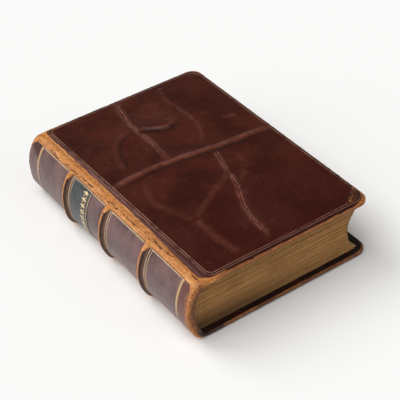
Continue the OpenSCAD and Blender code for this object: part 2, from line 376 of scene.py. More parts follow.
def leather_grain(s):
    """Fine pebbled grain with a net of thin lines, as a height from 0 to 1."""
    warped = s.vector("ADD", s.rest, s.vector("SCALE", s.noise(2, 2, 0.5, out="Color"), scale=1.4))
    net = s.ramp(s.cells(2.6, "DISTANCE_TO_EDGE", warped), 0, 0.14)
    return s.cells(0.55, "SMOOTH_F1") * 0.35 + net * 0.28 + s.noise(1.2, 4, 0.6) * 0.5


# distances of the two tooled lines and the groove between them from the spine, fore, tail and head edges
TOOLED_LINES = ((2.7, 1.1, 3.0, 1.2), (4.2, 2.4, 4.8, 2.6))
TOOLED_GROOVE = ((3.45, 1.75, 3.9, 1.9),)
# the lines by the spine lean towards it at the head, by this much for each mm
LINE_LEAN = 0.0105


def length(s, a, b):
    return s.math("SQRT", a * a + b * b)


def fillet_lines(s, frames, width):
    """Thin lines that run round the board, each at its own distances inside the spine, fore, tail and head
    edges, with tighter corners by the spine."""
    x, y, _ = s.xyz()
    x = x + y * s.ramp(x, BOARD_X0 + 10, 0, LINE_LEAN, 0)
    r = s.ramp(x, -10, 10, 4, 9)
    lines = []
    for spine, fore, tail, head in frames:
        x0, x1, y0, y1 = BOARD_X0 + spine, BOARD_X1 - fore, tail - HALF_Y, HALF_Y - head
        qx = abs(x - (x0 + x1) / 2) + r + (x0 - x1) / 2
        qy = abs(y - (y0 + y1) / 2) + r + (y0 - y1) / 2
        outside = length(s, s.either(qx, 0), s.either(qy, 0))
        inside = s.math("MINIMUM", s.either(qx, qy), 0)
        lines.append(s.fall(abs(outside + inside - r), width * 0.45, width))
    return s.either(*lines)


def cover_material(name, sweep_r, near, edge_tone):
    """Dark calf, creased and rubbed. Tan shows along the joint, up to near mm past the board's spine edge,
    and sweeps round the corners there with a radius of sweep_r at the tail."""
    s = Shader(name)
    x, y, z = s.xyz()
    edge, inner, wear, scuff = (s.attribute(n) for n in ("edge", "inner", "wear", "scuff"))
    # soft cloudy depth, and darker towards the tail
    clouds = s.noise(34, 3, 0.55, distortion=0.5)
    blotch = s.noise(10, 4, 0.62)
    rub = s.noise(3, 5, 0.7, (1, 0.35, 1))
    scratch = abs(s.noise(22, 1, 0.4, (1, 0.3, 1), 2.5) - 0.5)
    scratch = s.fall(scratch, 0, 0.005) * s.ramp(s.noise(6, 2), 0.52, 0.64)
    # creases: a soft lighter fold, with fine rubbed strands running along it; the lighter tone also carries a
    # painted highlight on the dent's lip and a painted sheen patch above the dent
    soft = s.attribute("crease_tone_and_sheen") * s.ramp(s.noise(4, 3), 0.3, 0.6, 0.55, 1)
    wander = s.noise(5, 3, 0.6) - 0.5
    waver = s.noise(9, 2, 0.6) - 0.5
    across = s.attribute("crease_side") + wander * 1.4
    strands = s.fall(abs(across), 0.12, 0.36)
    for place, strength, lean in ((1.7, 0.85, 2.6), (-1.5, 0.6, -2.2), (2.9, 0.35, 3.4)):
        strands = s.either(strands, s.fall(abs(across + waver * lean - place), 0.1, 0.32) * strength)
    strands = strands * s.attribute("crease_fine") * s.ramp(s.noise(3, 4, 0.7), 0.34, 0.6, 0.15, 1)
    # painted shadow beside the creases and in the dent's hollow
    painted_shadow = s.attribute("crease_painted_shadow") * s.ramp(s.noise(4, 3), 0.25, 0.5, 0.5, 1)
    # painted sheen: the leather is painted paler where it rises from the joint to the tooled lines, and glint is a
    # painted highlight along that ridge
    leaning = x + y * LINE_LEAN
    rubs = s.noise(2.2, 4, 0.6, (1, 0.15, 1))
    rise = s.ramp(leaning, BOARD_X0 + 2.6, BOARD_X0 + 1.4) * s.ramp(y, 70, -40, 0.05, 0.35)
    glint = s.fall(abs(leaning - (BOARD_X0 + 1.7)), 0.1, 0.38) * s.ramp(rubs, 0.36, 0.55, 0.2, 1)
    glint = glint * s.ramp(y, 75, 45) * s.ramp(y, -70, -20, 0.2, 1)
    outside = s.ramp(edge, 3.6, 1.6, 0, 0.6) * s.ramp(leaning, BOARD_X0 + 2, BOARD_X0 + 5)
    on_top = s.ramp(edge, 0.2, 0.7)
    lines = fillet_lines(s, TOOLED_LINES, 0.23) * s.ramp(s.noise(7, 3, 0.6), 0.36, 0.52, 0.35, 1) * on_top
    groove = fillet_lines(s, TOOLED_GROOVE, 0.6) * on_top
    dark = s.layers(
        CHESTNUT_DEEP,
        (s.ramp(clouds, 0.32, 0.68), CHESTNUT),
        (s.ramp(blotch, 0.48, 0.8, 0, 0.4), CHESTNUT_RED),
        (s.ramp(rub, 0.62, 0.8, 0, 0.22), CREASE_SOFT),
        (s.ramp(y, 0, -60, 0, 0.5), srgb(50, 3, 0)),
        (scratch * 0.35, CREASE),
        # the creases' lighter tone, which also carries the painted highlight on the dent's lip and the painted
        # sheen patch
        (soft * 0.75, CREASE_SOFT),
        (strands * 0.72, CREASE),
        # painted shadow beside the creases and under the dent's lip
        (painted_shadow * 0.7, srgb(30, 9, 6)),
        # painted sheen on the rise, and a painted highlight (glint) along its ridge
        (rise * s.ramp(rubs, 0.35, 0.6, 0.5, 1), srgb(94, 48, 42)),
        (glint * 0.85, srgb(160, 116, 112)),
        (outside, CHIP),
        (s.ramp(wear, 0.4, 3.2, 0, 0.6), srgb(34, 10, 6)),
        (groove * 0.75, CHIP),
        (lines * s.ramp(x, BOARD_X0 + 7, BOARD_X0 + 20, 0.85, 0.55), TOOLED),
        # painted shade: turn-ins under the board and tucked-in ends are near-black, mixed with the deep tone
        (inner, s.mix(s.ramp(blotch, 0.4, 0.7), TUCKED_IN_SHADE, CHESTNUT_DEEP)),
        (s.ramp(scuff, 0.1, 0.6) * 0.75, CHIP))
    # rubbed to tan at the edges, the corners and the joint, sweeping round the corners next to the spine
    ragged = (s.noise(1.8, 4, 0.7) * 1.7 + s.noise(8, 2, 0.5) * 1.5) * (wear * 0.35 + 0.7)
    jitter = (s.noise(7, 4, 0.5) - 0.5) * 1.7
    radius = s.ramp(y, -20, 20, sweep_r, 2.5)
    boundary = s.ramp(y, -20, -80, 0, -1.5) + radius + (BOARD_X0 + 0.1)
    past_y = abs(y) + radius - (HALF_Y - 1.6)
    sweep = radius - length(s, s.either(boundary - x, 0), s.either(past_y, 0))
    near_spine = s.fall(x + jitter + jitter + jitter, BOARD_X0 + near, BOARD_X0 + near + 6)
    tan_joint = s.fall(sweep + jitter, -0.5, 0.6) * near_spine * s.ramp(scuff, 0.3, 0.8, 1, 0.1)
    tan_scuff = s.ramp(scuff + (s.noise(1.3, 4, 0.7) - 0.5) * 3.8, 0.9, 1.1)
    tan_scuff = tan_scuff * s.ramp(scuff, 0.12, 0.3) * s.ramp(z, MID_Z - 5, MID_Z + 5)
    crumpled = scuff * s.ramp(z, MID_Z + 5, MID_Z - 5)
    tan_edge = s.fall(edge + ragged + wear * -1.35, 1.1, 1.5) * s.ramp(crumpled, 0.06, 0.3, 1, 0.1)
    tan_share = s.either(tan_edge, tan_joint, tan_scuff)
    crumbs = s.noise(1.3, 4, 0.65, (1.2, 0.7, 1.2))
    chips = s.either(
        s.ramp(crumbs, 0.6, 0.66),
        s.ramp(crumbs, 0.53, 0.59) * s.ramp(wear, 1.5, 2.4),
        s.ramp(crumbs, 0.49, 0.54) * s.ramp(scuff, 0.2, 0.4))
    brown = s.ramp(x, BOARD_X0 + near - 7, BOARD_X0 + near + 2)
    color = worn_leather(s, dark, tan_share, chips, brown, edge_tone)
    rough = s.ramp(clouds, 0.3, 0.7, 0.28, 0.36) + strands * 0.2 + tan_share * 0.4
    rough = s.either(rough, inner * 0.55, s.ramp(leaning, BOARD_X0 + 3, BOARD_X0 + 1.5, 0, 0.6))
    s.bump(leather_grain(s) + tan_share * chips * -1.8 + lines * -0.8 + groove * -0.8 + strands * 1.4
           + s.noise(5, 4, 0.6) * 1.2, 0.16, 0.6)
    return s.finish(color, rough, Specular_IOR_Level=0.28, Coat_Weight=0.09, Coat_Roughness=0.25)


# the spine's panels start at this distance round it from the joint's seam
PANEL_ARC = 7.2
# the cracks along a joint run at this distance round the spine at mid-length, and drift away from the board
# towards the head
CRACK_ARC, CRACK_SLANT = 3.9, 0.026


def spine_material(name):
    """Faded plum leather between the bands, rubbed to tan at the joints, the caps and one side of each band; the
    other side is painted dark as shade.
    """
    s = Shader(name)
    _, y, z = s.xyz()
    names = ("arc", "end", "inner", "band", "band_side", "shelf")
    arc, end, inner, band, side, shelf = (s.attribute(n) for n in names)
    tailward = s.ramp(y, 10, -10)
    cloud = s.noise(16, 4, 0.62)
    streak = s.noise(3, 4, 0.6, (0.5, 1, 0.5))
    crumbs = s.noise(1.2, 4, 0.65)
    patchy = (cloud - 0.5) * 3
    fine = (s.noise(1.6, 4, 0.7) - 0.5) * 1.5
    wide = (s.noise(7, 3, 0.6) - 0.5) * 2.4
    # redder past the tail line, and a dark stain at the head by the shoulder
    past_line = s.fall(end + patchy, 9.5, 12) * tailward
    stain = s.fall(end, 12.4, 12.9) * s.fall(arc + end * -0.5 + patchy, 9, 13) * s.ramp(y, 0, 20)
    # painted shade: the tail side of each band is painted dark, with rubbed streaks in it
    band_shaded_side = s.ramp(band, 0.05, 0.3) * s.ramp(side + fine * 0.15, 0.05, -0.3)
    rubbed = s.noise(1.6, 4, 0.65, (0.4, 1, 0.4))
    band_shaded_tone = s.mix(s.ramp(band + rubbed * 0.5, 0.55, 0.95), srgb(106, 72, 46), srgb(42, 20, 11))
    band_shaded_tone = s.mix(s.ramp(rubbed, 0.56, 0.72, 0, 0.5), band_shaded_tone, SLOPE)
    panel = s.layers(
        PLUM_DARK,
        (s.ramp(cloud, 0.35, 0.68), PLUM),
        (s.ramp(streak, 0.45, 0.75, 0, 0.5), PLUM_RED),
        (s.ramp(s.noise(1.2, 4, 0.7), 0.6, 0.75, 0, 0.4), PLUM_DARK),
        (past_line * 0.85, srgb(98, 52, 44)),
        (stain * 0.9, srgb(56, 16, 6)),
        # painted shade on the tail side of each band
        (band_shaded_side * 0.92, band_shaded_tone))
    tan_joint = s.fall(arc + fine, 6.7, 7.2)
    tan_end = s.fall(end + fine + wide * 0.7 + s.ramp(y, -10, 10, 0, 0.9), 1.8, 2.3)
    tan_corner = s.fall(arc * 0.9 + end + fine + wide + s.ramp(y, -10, 10, -1.6, 0), 10.8, 11.6)
    foot = s.fall(arc + wide + band * -5.5, 5.2, 6) * s.ramp(band, 0.15, 0.35)
    crest = s.ramp(band + fine * 0.2, 0.16, 0.34) * s.ramp(side, -0.35, 0.1)
    crest = crest * s.ramp(s.noise(6, 2), 0.3, 0.45, 0.6, 1)
    mottled = s.ramp(end + fine * 2 + wide * 1.4, 2.4, 5.4, 0.85, 0) * s.ramp(s.noise(1.4, 4, 0.7), 0.45, 0.57)
    tan_share = s.either(tan_joint, tan_end, tan_corner, crest, foot, mottled * tailward)
    # a broken line of dark cracks along the middle of each joint, and holes worn at its ends
    drift = (s.noise(22, 2) - 0.5) * 3
    off_line = abs(arc + drift + fine * 0.8 + y * -CRACK_SLANT - CRACK_ARC)
    dashes = s.noise(1.9, 5, 0.75, (1, 0.34, 1))
    cracks = s.ramp(dashes, 0.5, 0.55) * s.fall(off_line + s.noise(9, 2) * -1.7, -0.35, 0.15)
    cracks = cracks * s.ramp(arc, 0.4, 1.2)
    stray = s.ramp(dashes, 0.72, 0.75) * s.ramp(arc, 0.8, 2) * 0.7
    rim_holes = s.ramp(crumbs, 0.54, 0.58) * s.ramp(s.noise(4, 2), 0.45, 0.55) * s.fall(end, 0.6, 1.9)
    rim_holes = rim_holes * tailward * s.ramp(arc, 2, 5)
    holes = s.ramp(crumbs, 0.53, 0.58) * s.either(s.fall(arc + end * 1.6, 5, 9), s.ramp(shelf, 0.5, 0.9))
    perforated = s.fall(abs(shelf - 0.45), 0.12, 0.3) * tailward
    perforated = s.either(perforated, s.fall(arc + end * 2, 6, 11) * tailward)
    pits = s.ramp(s.noise(2.3, 4, 0.62, (1, 1, 0.7)), 0.54, 0.59)
    chips = s.either(cracks, stray, s.either(holes, pits * perforated), rim_holes, s.ramp(crumbs, 0.69, 0.75))
    brown = s.ramp(shelf + s.ramp(end, 0.5, 3, 0.3, 0) * s.ramp(arc, 4, 9), 0, 0.7)
    mottle = s.ramp(s.noise(1.3, 5, 0.75), 0.45, 0.62) * s.fall(end, 3, 6) * tailward * tan_share
    shadow_line = s.fall(abs(arc + fine * 0.2 - (PANEL_ARC - 0.5)), 0.15, 0.4)
    shadow_line = shadow_line * s.ramp(end, 12, 13) * s.ramp(band, 0.1, 0.02)
    # dark and crumpled where the tail cap meets the lower board
    crumpled = s.ramp(z + wide * 0.6, 9, 6) * s.ramp(shelf + fine * 0.3, 0.08, 0.35) * tailward
    color = s.layers(
        worn_leather(s, panel, tan_share, chips, brown, EDGE_BROWN),
        (mottle * 0.55, srgb(128, 66, 32)),
        (shadow_line * 0.65, srgb(52, 30, 20)),
        (s.ramp(shelf + fine * 0.25, 0, 0.35) * 0.3, srgb(104, 56, 26)),
        (s.ramp(shelf, 0.55, 1, 0, 0.5), SLOPE),
        (crumpled * s.ramp(crumbs, 0.36, 0.44), srgb(36, 15, 9)),
        # painted shade: the caps' tucked-in rows are near-black
        (inner, TUCKED_IN_SHADE))
    rough = s.ramp(cloud, 0.3, 0.7, 0.34, 0.44) + s.either(tan_share, band_shaded_side) * 0.35
    flesh = tan_share * s.noise(0.8, 4, 0.7) * 1.2
    s.bump(leather_grain(s) + tan_share * chips * -2.2 + s.noise(4, 4, 0.6) + flesh
           + tan_share * s.noise(2.2, 4, 0.7) * 1.6, 0.18, 0.7)
    return s.finish(color, rough, Specular_IOR_Level=0.38, Coat_Weight=0.12, Coat_Roughness=0.35)


def label_material():
    s = Shader("label_skiver")
    cloud = s.noise(6, 4, 0.6)
    color = s.layers(
        SLATE,
        (s.ramp(cloud, 0.3, 0.7), srgb(63, 67, 69)),
        (s.ramp(s.noise(2, 4, 0.7), 0.64, 0.74) * 0.5, srgb(104, 88, 78)))
    s.bump(leather_grain(s), 0.1, 0.4)
    return s.finish(color, s.ramp(cloud, 0.3, 0.7, 0.34, 0.46), Specular_IOR_Level=0.5)


def gilt_material():
    """Rubbed gold, browner at the ends of the spine."""
    s = Shader("gilt")
    _, y, z = s.xyz()
    rub = s.ramp(s.noise(1.7, 4, 0.7), 0.28, 0.48)
    at_end = s.ramp(abs(y), 79, 80.5)
    color = s.layers(
        srgb(130, 98, 72),
        (rub, GOLD),
        (at_end * 0.7, srgb(178, 134, 90)),
        (at_end * s.ramp(z, 28, 12, 0, 0.6), srgb(120, 86, 70)))
    s.bump(s.noise(0.4, 3), 0.03, 0.5)
    return s.finish(color, s.ramp(rub, 0, 1, 0.6, 0.38), Metallic=0.2)


def paper_material(name):
    """Aged rag paper: fine leaf lines on the edges, stains, and fibres on the page."""
    s = Shader(name)
    x, _, z = s.xyz()
    leaves = s.noise(1, 3, 0.7, (0.03, 0.03, 5))
    broad = s.noise(1, 2, 0.5, (0.012, 0.012, 0.9))
    stain = s.noise(14, 4, 0.6)
    speck = s.noise(1.5, 4, 0.7)
    flecks = s.noise(1, 4, 0.7, (0.9, 0.9, 0.3))
    # painted shade: the edges are darker towards the bottom and the spine, where the block lies in shadow
    painted_edge_shade = s.ramp(z + stain * 8, 27, 7) * s.ramp(x, 40, -45, 0.12, 0.95)
    under_board = TOP - COVER_T
    pale = s.ramp(z, under_board - 1.1, under_board - 0.7, 0, 0.6) * s.ramp(flecks, 0.35, 0.55, 0.4, 1)
    page = s.layers(
        srgb(206, 182, 138),
        (s.ramp(stain, 0.35, 0.7), srgb(226, 208, 170)),
        (s.ramp(s.noise(30, 3), 0.5, 0.75, 0, 0.3), srgb(186, 152, 104)),
        (s.ramp(speck, 0.64, 0.75, 0, 0.3), srgb(176, 138, 92)),
        (s.ramp(s.attribute("margin"), 0, 9, 0.7, 0), srgb(166, 126, 78)))
    edge = s.layers(
        srgb(126, 86, 46),
        (s.ramp(leaves, 0.3, 0.7), srgb(182, 136, 82)),
        (s.ramp(broad, 0.42, 0.62, 0, 0.3), srgb(196, 152, 96)),
        (s.ramp(stain, 0.45, 0.75, 0, 0.5), srgb(134, 90, 46)),
        (s.ramp(flecks, 0.58, 0.7, 0, 0.5), srgb(208, 170, 118)),
        (s.ramp(flecks, 0.3, 0.42, 0.4, 0), srgb(112, 78, 44)),
        (s.ramp(speck, 0.64, 0.72, 0, 0.45), srgb(84, 56, 30)),
        # painted shade on the low edges by the spine
        (painted_edge_shade, srgb(84, 56, 30)),
        (pale, srgb(214, 178, 126)))
    s.bump(leaves * 0.8 + s.noise(0.5, 3) * 0.3, 0.08, 0.6)
    return s.finish(s.mix(s.attribute("page"), edge, page), 0.82, Specular_IOR_Level=0.25)


def plain_material(name, low, high, size, roughness, depth=0.1, stretch=(1, 1, 1)):
    """Two tones of one stuff in clouds of the given size, with a bump to match, for a piece of the CAD."""
    s = Shader(name, on_cad=True)
    cloud = s.noise(size, 5, 0.65, stretch)
    fine = s.noise(size / 5, 4, 0.7, stretch)
    color = s.layers(low, (s.ramp(cloud, 0.3, 0.7), high), (s.ramp(fine, 0.5, 0.8, 0, 0.4), low))
    s.bump(fine, depth, 0.7)
    return s.finish(color, s.ramp(fine, 0.3, 0.7, roughness - 0.05, roughness + 0.05))


def silk_material():
    """Endband silk in two faded colours, wrap by wrap."""
    s = Shader("endband_silk")
    color = s.layers(
        srgb(122, 62, 40),
        (s.ramp(s.attribute("wrap"), 0.4, 0.6), srgb(196, 172, 128)),
        (s.ramp(s.noise(0.9, 4, 0.7), 0.45, 0.75, 0, 0.6), srgb(88, 62, 42)))
    s.bump(s.noise(0.3, 3, 0.6, (1, 4, 1)), 0.05, 0.5)
    return s.finish(color, 0.6, Specular_IOR_Level=0.4)


# ---------------------------------------------------------------- the covers

EDGE_ROUND = 1.3
SKIN = 0.55
# how far the mesh's rows are from a board's edge, for its rounding, and from each other at the joint
FINE = (0.0, 0.12, 0.3, 0.55, 0.85, 1.3)
JOINT_STEP = 0.2
# the leather at the joint's ends runs in this far under itself, and the worn corners reach this far
JOINT_TUCK, WORN_CORNER = 1.6, 15.0

# where the tooled line by the spine runs; creases are placed from there and from the tail
TOOLED_X = BOARD_X0 + 4.7


def crease(path, height, width, soft, fine, broad, painted_shadow=0.0):
    """A crease along path: a ridge of the given height and width in mm, in a soft fold. The last three numbers are
    the strengths of its fine strands, its broad lighter tone and a painted shadow line beside it, which is on
    its right when positive and on its left when negative."""
    return dict(path=rounded(path), height=height, width=width, soft=soft, fine=fine, broad=broad, painted_shadow=painted_shadow)


# a crease given six numbers ends with the strength of its painted shadow line
FRONT_CREASES = [
    crease([(-3, 107), (16, 109), (30, 109), (45, 108), (61, 106), (74, 103), (86, 102), (102, 101), (119, 98),
            (124, 97)], 0.55, 2.1, 0.3, 0.6, 1.0, 0.9),
    crease([(51, 187), (46, 168), (45, 152), (46, 136), (46, 121), (44, 111)], 0.25, 1.3, 0.35, 1.0, 0.3, -0.5),
    crease([(74, 102), (68, 82), (63, 62), (55, 45), (51, 33), (51, 21), (48, 7)],
           0.25, 1.3, 0.35, 0.95, 0.35, -0.5),
    crease([(62, 58), (56, 46), (52, 34), (51, 22), (49, 10)], 0.1, 2.2, 0.2, 0.3, 0.6),
    crease([(46, 134), (46, 121), (44, 110)], 0.1, 2.0, 0.2, 0.3, 0.5),
    crease([(67, 75), (51, 67), (35, 58), (22, 49)], 0.12, 1.6, 0.25, 0.3, 0.3),
    crease([(22, 49), (23, 35), (23, 22), (26, 8)], 0.12, 2.0, 0.3, 0.15, 0.55),
    crease([(22, 49), (16, 63), (10, 78), (17, 101)], 0.12, 1.6, 0.3, 0.15, 0.35),
    crease([(42, 153), (34, 151), (27, 147.5), (22.5, 142), (19.5, 135), (17.5, 128), (15, 117)],
           0.12, 1.5, 0.35, 0.2, 0.13, -0.85),
    crease([(81, 163), (82, 150), (82, 140), (80.5, 131), (78, 122), (72, 113)],
           0.12, 1.2, 0.2, 0.4, 0.22, 0.35),
    # a small fold whose main mark is a painted shadow in the pocket at the dent's end
    crease([(65, 144), (69, 143), (74, 141.5)], 0.1, 1.2, 0.1, 0.0, 0.0, 1.0),
    # no ridge here: only a painted sheen patch above the dent, in the creases' lighter tone
    crease([(60, 173), (65, 162), (66, 153)], 0.0, 8.5, 0.0, 0.0, 0.24),
    crease([(98, 127), (104, 126), (109, 125)], 0.1, 0.8, 0.1, 0.4, 0.2),
    crease([(63, 62), (76, 70), (84, 90)], 0.06, 1.2, 0.1, 0.3, 0.15),
    crease([(84, 184), (81, 171), (80.5, 158)], 0.08, 1.2, 0.2, 0.35, 0.18),
]
# a dent with a raised lip along the side of it that is nearer the head
DENT = dict(path=rounded([(42, 150), (51, 148.3), (57, 144.4), (63, 141.5), (68, 141.5), (72, 143)], 3),
            rise=0.9, dip=0.5, reach=15.0)
BACK_CREASES = [
    crease([(118, 62), (96, 66), (70, 71), (44, 70), (12, 78)], 0.3, 1.2, 0.25, 0.6, 0.6),
    crease([(40, 72), (46, 96), (44, 124), (52, 150)], 0.25, 0.9, 0.3, 0.8, 0.4),
    crease([(84, 68), (78, 44), (84, 22)], 0.2, 1.0, 0.25, 0.6, 0.4),
    crease([(60, 176), (78, 160), (102, 156)], 0.12, 1.2, 0.2, 0.4, 0.3),
]


def crease_relief(x, y, creases, dent):
    """Height in mm of a cover's creases, with the signed distance from the nearest one and the strengths of
    their fine strands, their broad tone with a painted highlight on the dent's lip, and the painted shadow beside
    them and in the dent's hollow."""
    u, v = x - TOOLED_X, y + HALF_Y
    height, soft, fine, painted_shadow = (np.zeros(x.shape) for _ in range(4))
    nearest = np.full(x.shape, 1e9)
    wander = noise(u, v, 7.0, 5, 2) * 0.7
    for k, c in enumerate(creases):
        d, along = distance_to_path(u + wander, v + wander * 0.6, c["path"])
        fade = smooth(along / 0.08) * smooth((1 - along) / 0.12)
        vary = 0.8 + 0.3 * noise(u, v, 9.0, 40 + k)
        shape = np.exp(-np.abs(d / c["width"]) ** 2.6)
        height += (c["height"] * shape * vary + c["soft"] * gauss(d, c["width"] * 4.5)) * fade
        soft = np.maximum(soft, c["broad"] * gauss(d, c["width"] * 1.25) * fade * vary)
        # painted shadow: a dark line beside the crease
        if c["painted_shadow"]:
            beside = d * np.sign(c["painted_shadow"]) - 1.6 * c["width"]
            painted_shadow = np.maximum(painted_shadow, abs(c["painted_shadow"]) * gauss(beside, 0.8 * c["width"]) * fade)
        near = np.abs(d) < np.abs(nearest)
        nearest = np.where(near, d, nearest)
        fine = np.where(near, c["fine"] * fade * smooth(1.6 - np.abs(d) / 3), fine)
    if dent:
        above = v - np.interp(u, dent["path"][:, 0], dent["path"][:, 1])
        across = smooth((u - dent["path"][0, 0] + 4) / 12) * smooth((dent["path"][-1, 0] + 3 - u) / 9)
        step = smooth((above + 1.6) / 3.2)
        height += dent["rise"] * across * step * np.exp(-(np.maximum(above, 0) / dent["reach"]) ** 2)
        height -= dent["dip"] * across * (1 - step) * np.exp(np.minimum(above, 0) / 8.0)
        # painted highlight along the lip's crest, and painted shadow in the hollow below it
        soft = np.maximum(soft, 0.55 * gauss(above - 1.2, 1.2) * across)
        hollow = gauss(above + 1.4, np.where(above > -1.4, 0.9, 4.4))
        painted_shadow = np.maximum(painted_shadow, 1.1 * hollow * across)
    return height, np.clip(nearest, -12, 12), fine, soft, np.minimum(painted_shadow, 1)


def outline_half(x):
    """Half the book's height at x: it dips a little at the joint, where the leather is drawn in."""
    return HALF_Y - 0.12 * gauss(x - AXIS_X, 2.5)


def cover_skin(name, spacing, creases, dent, seed, material, back):
    """One board's leather with its joint: outer face, rounded edges and turn-ins, with the skin's thickness."""
    joint_xs = np.arange(SEAM_X, BOARD_X0 - 0.05, JOINT_STEP)
    xs = np.concatenate([joint_xs, spaced(BOARD_X0, BOARD_X1, spacing, near_high=FINE)])
    ys = spaced(-HALF_Y, HALF_Y, spacing, FINE, FINE)
    first = len(joint_xs)
    gx, gy = np.meshgrid(xs, ys, indexing="ij")
    half = outline_half(gx)
    gy = gy * half / HALF_Y
    # rounded corners at the fore-edge
    r = FORE_CORNER_R
    u, v = (gx - (BOARD_X1 - r)) / r, (np.abs(gy) - (half - r)) / r
    corner = (u > 0) & (v > 0)
    cu, cv = np.where(corner, u, 0), np.where(corner, v, 0)
    gx = np.where(corner, BOARD_X1 - r + r * cu * np.sqrt(1 - cv ** 2 / 2), gx)
    gy = np.where(corner, np.sign(gy) * (half - r + r * cv * np.sqrt(1 - cu ** 2 / 2)), gy)
    inside = np.minimum(half - np.abs(gy), BOARD_X1 - gx)
    inside = np.where(corner, r - np.hypot(gx - (BOARD_X1 - r), np.abs(gy) - (half - r)), inside)
    inside = np.maximum(inside, 0)

    def drop(radius):
        t = np.clip(radius - inside, 0, radius)
        return radius - np.sqrt(radius ** 2 - t ** 2)

    relief, crease_side, crease_fine, crease_tone_and_sheen, crease_painted_shadow = crease_relief(gx, gy, creases, dent)
    relief += 0.24 * noise(gx, gy, 26.0, seed, 2) + 0.07 * noise(gx, gy, 4.0, seed + 3, 2) - 0.1
    if back:
        relief = 0.5 * relief - 0.3
    ease = smooth((gx - BOARD_X0) / 6.0) * smooth(inside / 5.0)
    # the leather sinks towards the joint and into a groove along the hinge, and the edges are knocked about
    knocked = 0.22 * noise(gx + gy, gx - gy, 2.4, seed + 9, 2) * smooth(1 - inside / 2.5)
    to_joint = smooth((BOARD_X0 + 2.2 - gx) / 4.0)
    sunk = 0.2 + 0.8 * smooth((HALF_Y - 1.5 - np.abs(gy)) / 7.0)
    groove = 0.3 * gauss(gx - (AXIS_X + 0.2), 0.7)
    top = TOP - drop(EDGE_ROUND) + relief * ease - (0.4 * to_joint + groove) * sunk
    top += knocked * smooth((gx - BOARD_X0) / 1.5) * 0.6
    bottom = TOP - COVER_T + drop(0.8)
    # a mitre at each fore corner, and little lumps all over the underside
    mitre = gauss((BOARD_X1 - gx) - (HALF_Y - np.abs(gy)), 0.5) * smooth(inside)
    bottom = bottom + 0.15 * mitre + 0.06 * (1 + noise(gx, gy, 2.0, seed + 5))

    nx, ny = gx.shape
    number = np.arange(nx * ny).reshape(nx, ny)
    verts = [np.stack([gx, gy, top], 2).reshape(-1, 3)]
    faces = grid_faces(number)
    edge = [inside.ravel()]
    # the bottom grid, only where the turn-ins are
    keep = (inside <= TURN_IN + spacing) & (np.arange(nx)[:, None] >= first)
    base = nx * ny + int(keep.sum())
    low_number = np.full((nx, ny), -1)
    low_number[keep] = np.arange(nx * ny, base)
    verts.append(np.stack([gx, gy, bottom], 2)[keep])
    edge.append(inside[keep] + (-0.5 if back else 1.2))
    under = np.zeros(base)
    under[nx * ny:] = smooth((inside[keep] - 0.1) / 0.8)
    quads = np.array(grid_faces(low_number, flip=True))
    faces += quads[(quads >= 0).all(1)].tolist()
    # the wall between the two, along the tail, the fore-edge and the head
    loop = outer_loop(nx, ny, closed=False)
    rim, rim_edge, strip = [], [], {}
    for k, (i, j) in enumerate(loop):
        x, y, z = gx[i, j], gy[i, j], top[i, j]
        on_board = smooth(np.array((x - AXIS_X) / 1.5))
        bulge = 0.05 * math.sin(k * 0.7) + 0.04 * math.sin(k * 0.23)
        rim.append((x, y, z - 0.35 - 0.35 * on_board + bulge * 0.5))
        rim_edge.append(-1.0 if not back and (on_board < 0.5 or j == 0) else 0.3)
        if i < first:
            strip[k] = len(loop) + len(strip)
    wall = base + np.arange(len(loop))
    extra = [(gx[loop[k]], gy[loop[k]] * (1 - JOINT_TUCK / HALF_Y), top[loop[k]] - 1.0) for k in strip]
    verts.append(np.array(rim + extra))
    edge.append(np.array(rim_edge + [0.5 if back else -2.0] * len(extra)))
    for k in range(len(loop) - 1):
        a, b = number[loop[k]], number[loop[k + 1]]
        faces.append([int(a), int(wall[k]), int(wall[k + 1]), int(b)])
        low = [base + strip[q] if q in strip else low_number[loop[q]] for q in (k, k + 1)]
        faces.append([int(wall[k]), int(low[0]), int(low[1]), int(wall[k + 1])])
    verts, edge = np.concatenate(verts), np.concatenate(edge)
    beyond = np.zeros(len(verts) - nx * ny)
    ease_color = smooth((gx - BOARD_X0 - 1.5) / 2.5) * smooth((inside - 1.2) / 1.5)
    folds = dict(crease_side=crease_side, crease_fine=crease_fine * ease_color,
                 crease_tone_and_sheen=crease_tone_and_sheen * ease_color, crease_painted_shadow=crease_painted_shadow * ease_color)
    folds = {key: np.concatenate([value.ravel(), beyond]) for key, value in folds.items()}
    inner = np.concatenate([under, np.zeros(len(rim)), np.ones(len(extra))])
    x, y, z_top = verts.T
    to_tail, to_fore = y + HALF_Y, BOARD_X1 - x
    to_end = np.minimum(to_tail, HALF_Y - y)
    at_corner = smooth(1 - np.hypot(to_fore, to_end) / WORN_CORNER)
    wear = (-0.5 if back else -0.1) + 0.45 * smooth(1 - to_tail / 5)
    wear += at_corner * np.where(y < 0, 4.8, 3.4) * (0.4 if back else 1.0)
    if not back:
        wear += 2.0 * smooth(1 - (x - BOARD_X0) / 9.0) * smooth(1 - to_end / 7.0)
    # a fold across the corner at the tail, cracked and rubbed
    fold, _ = distance_to_path(to_fore, to_tail, [(0.8, 15.5), (5.5, 11.0), (12.5, 5.5)])
    scuff = gauss(fold, 1.9) * smooth((z_top - TOP + 1.5) / 0.5)
    if back:
        scuff = gauss(np.hypot(x - BOARD_X0 - 1.5, to_tail), 7.5)
        verts = verts * [1, 1, -1] + [0, 0, TOP]
        faces = [f[::-1] for f in faces]
    obj = add_mesh(name, verts, faces, material, edge=edge, inner=inner, wear=wear, scuff=scuff, **folds)
    return thicken(obj, SKIN)


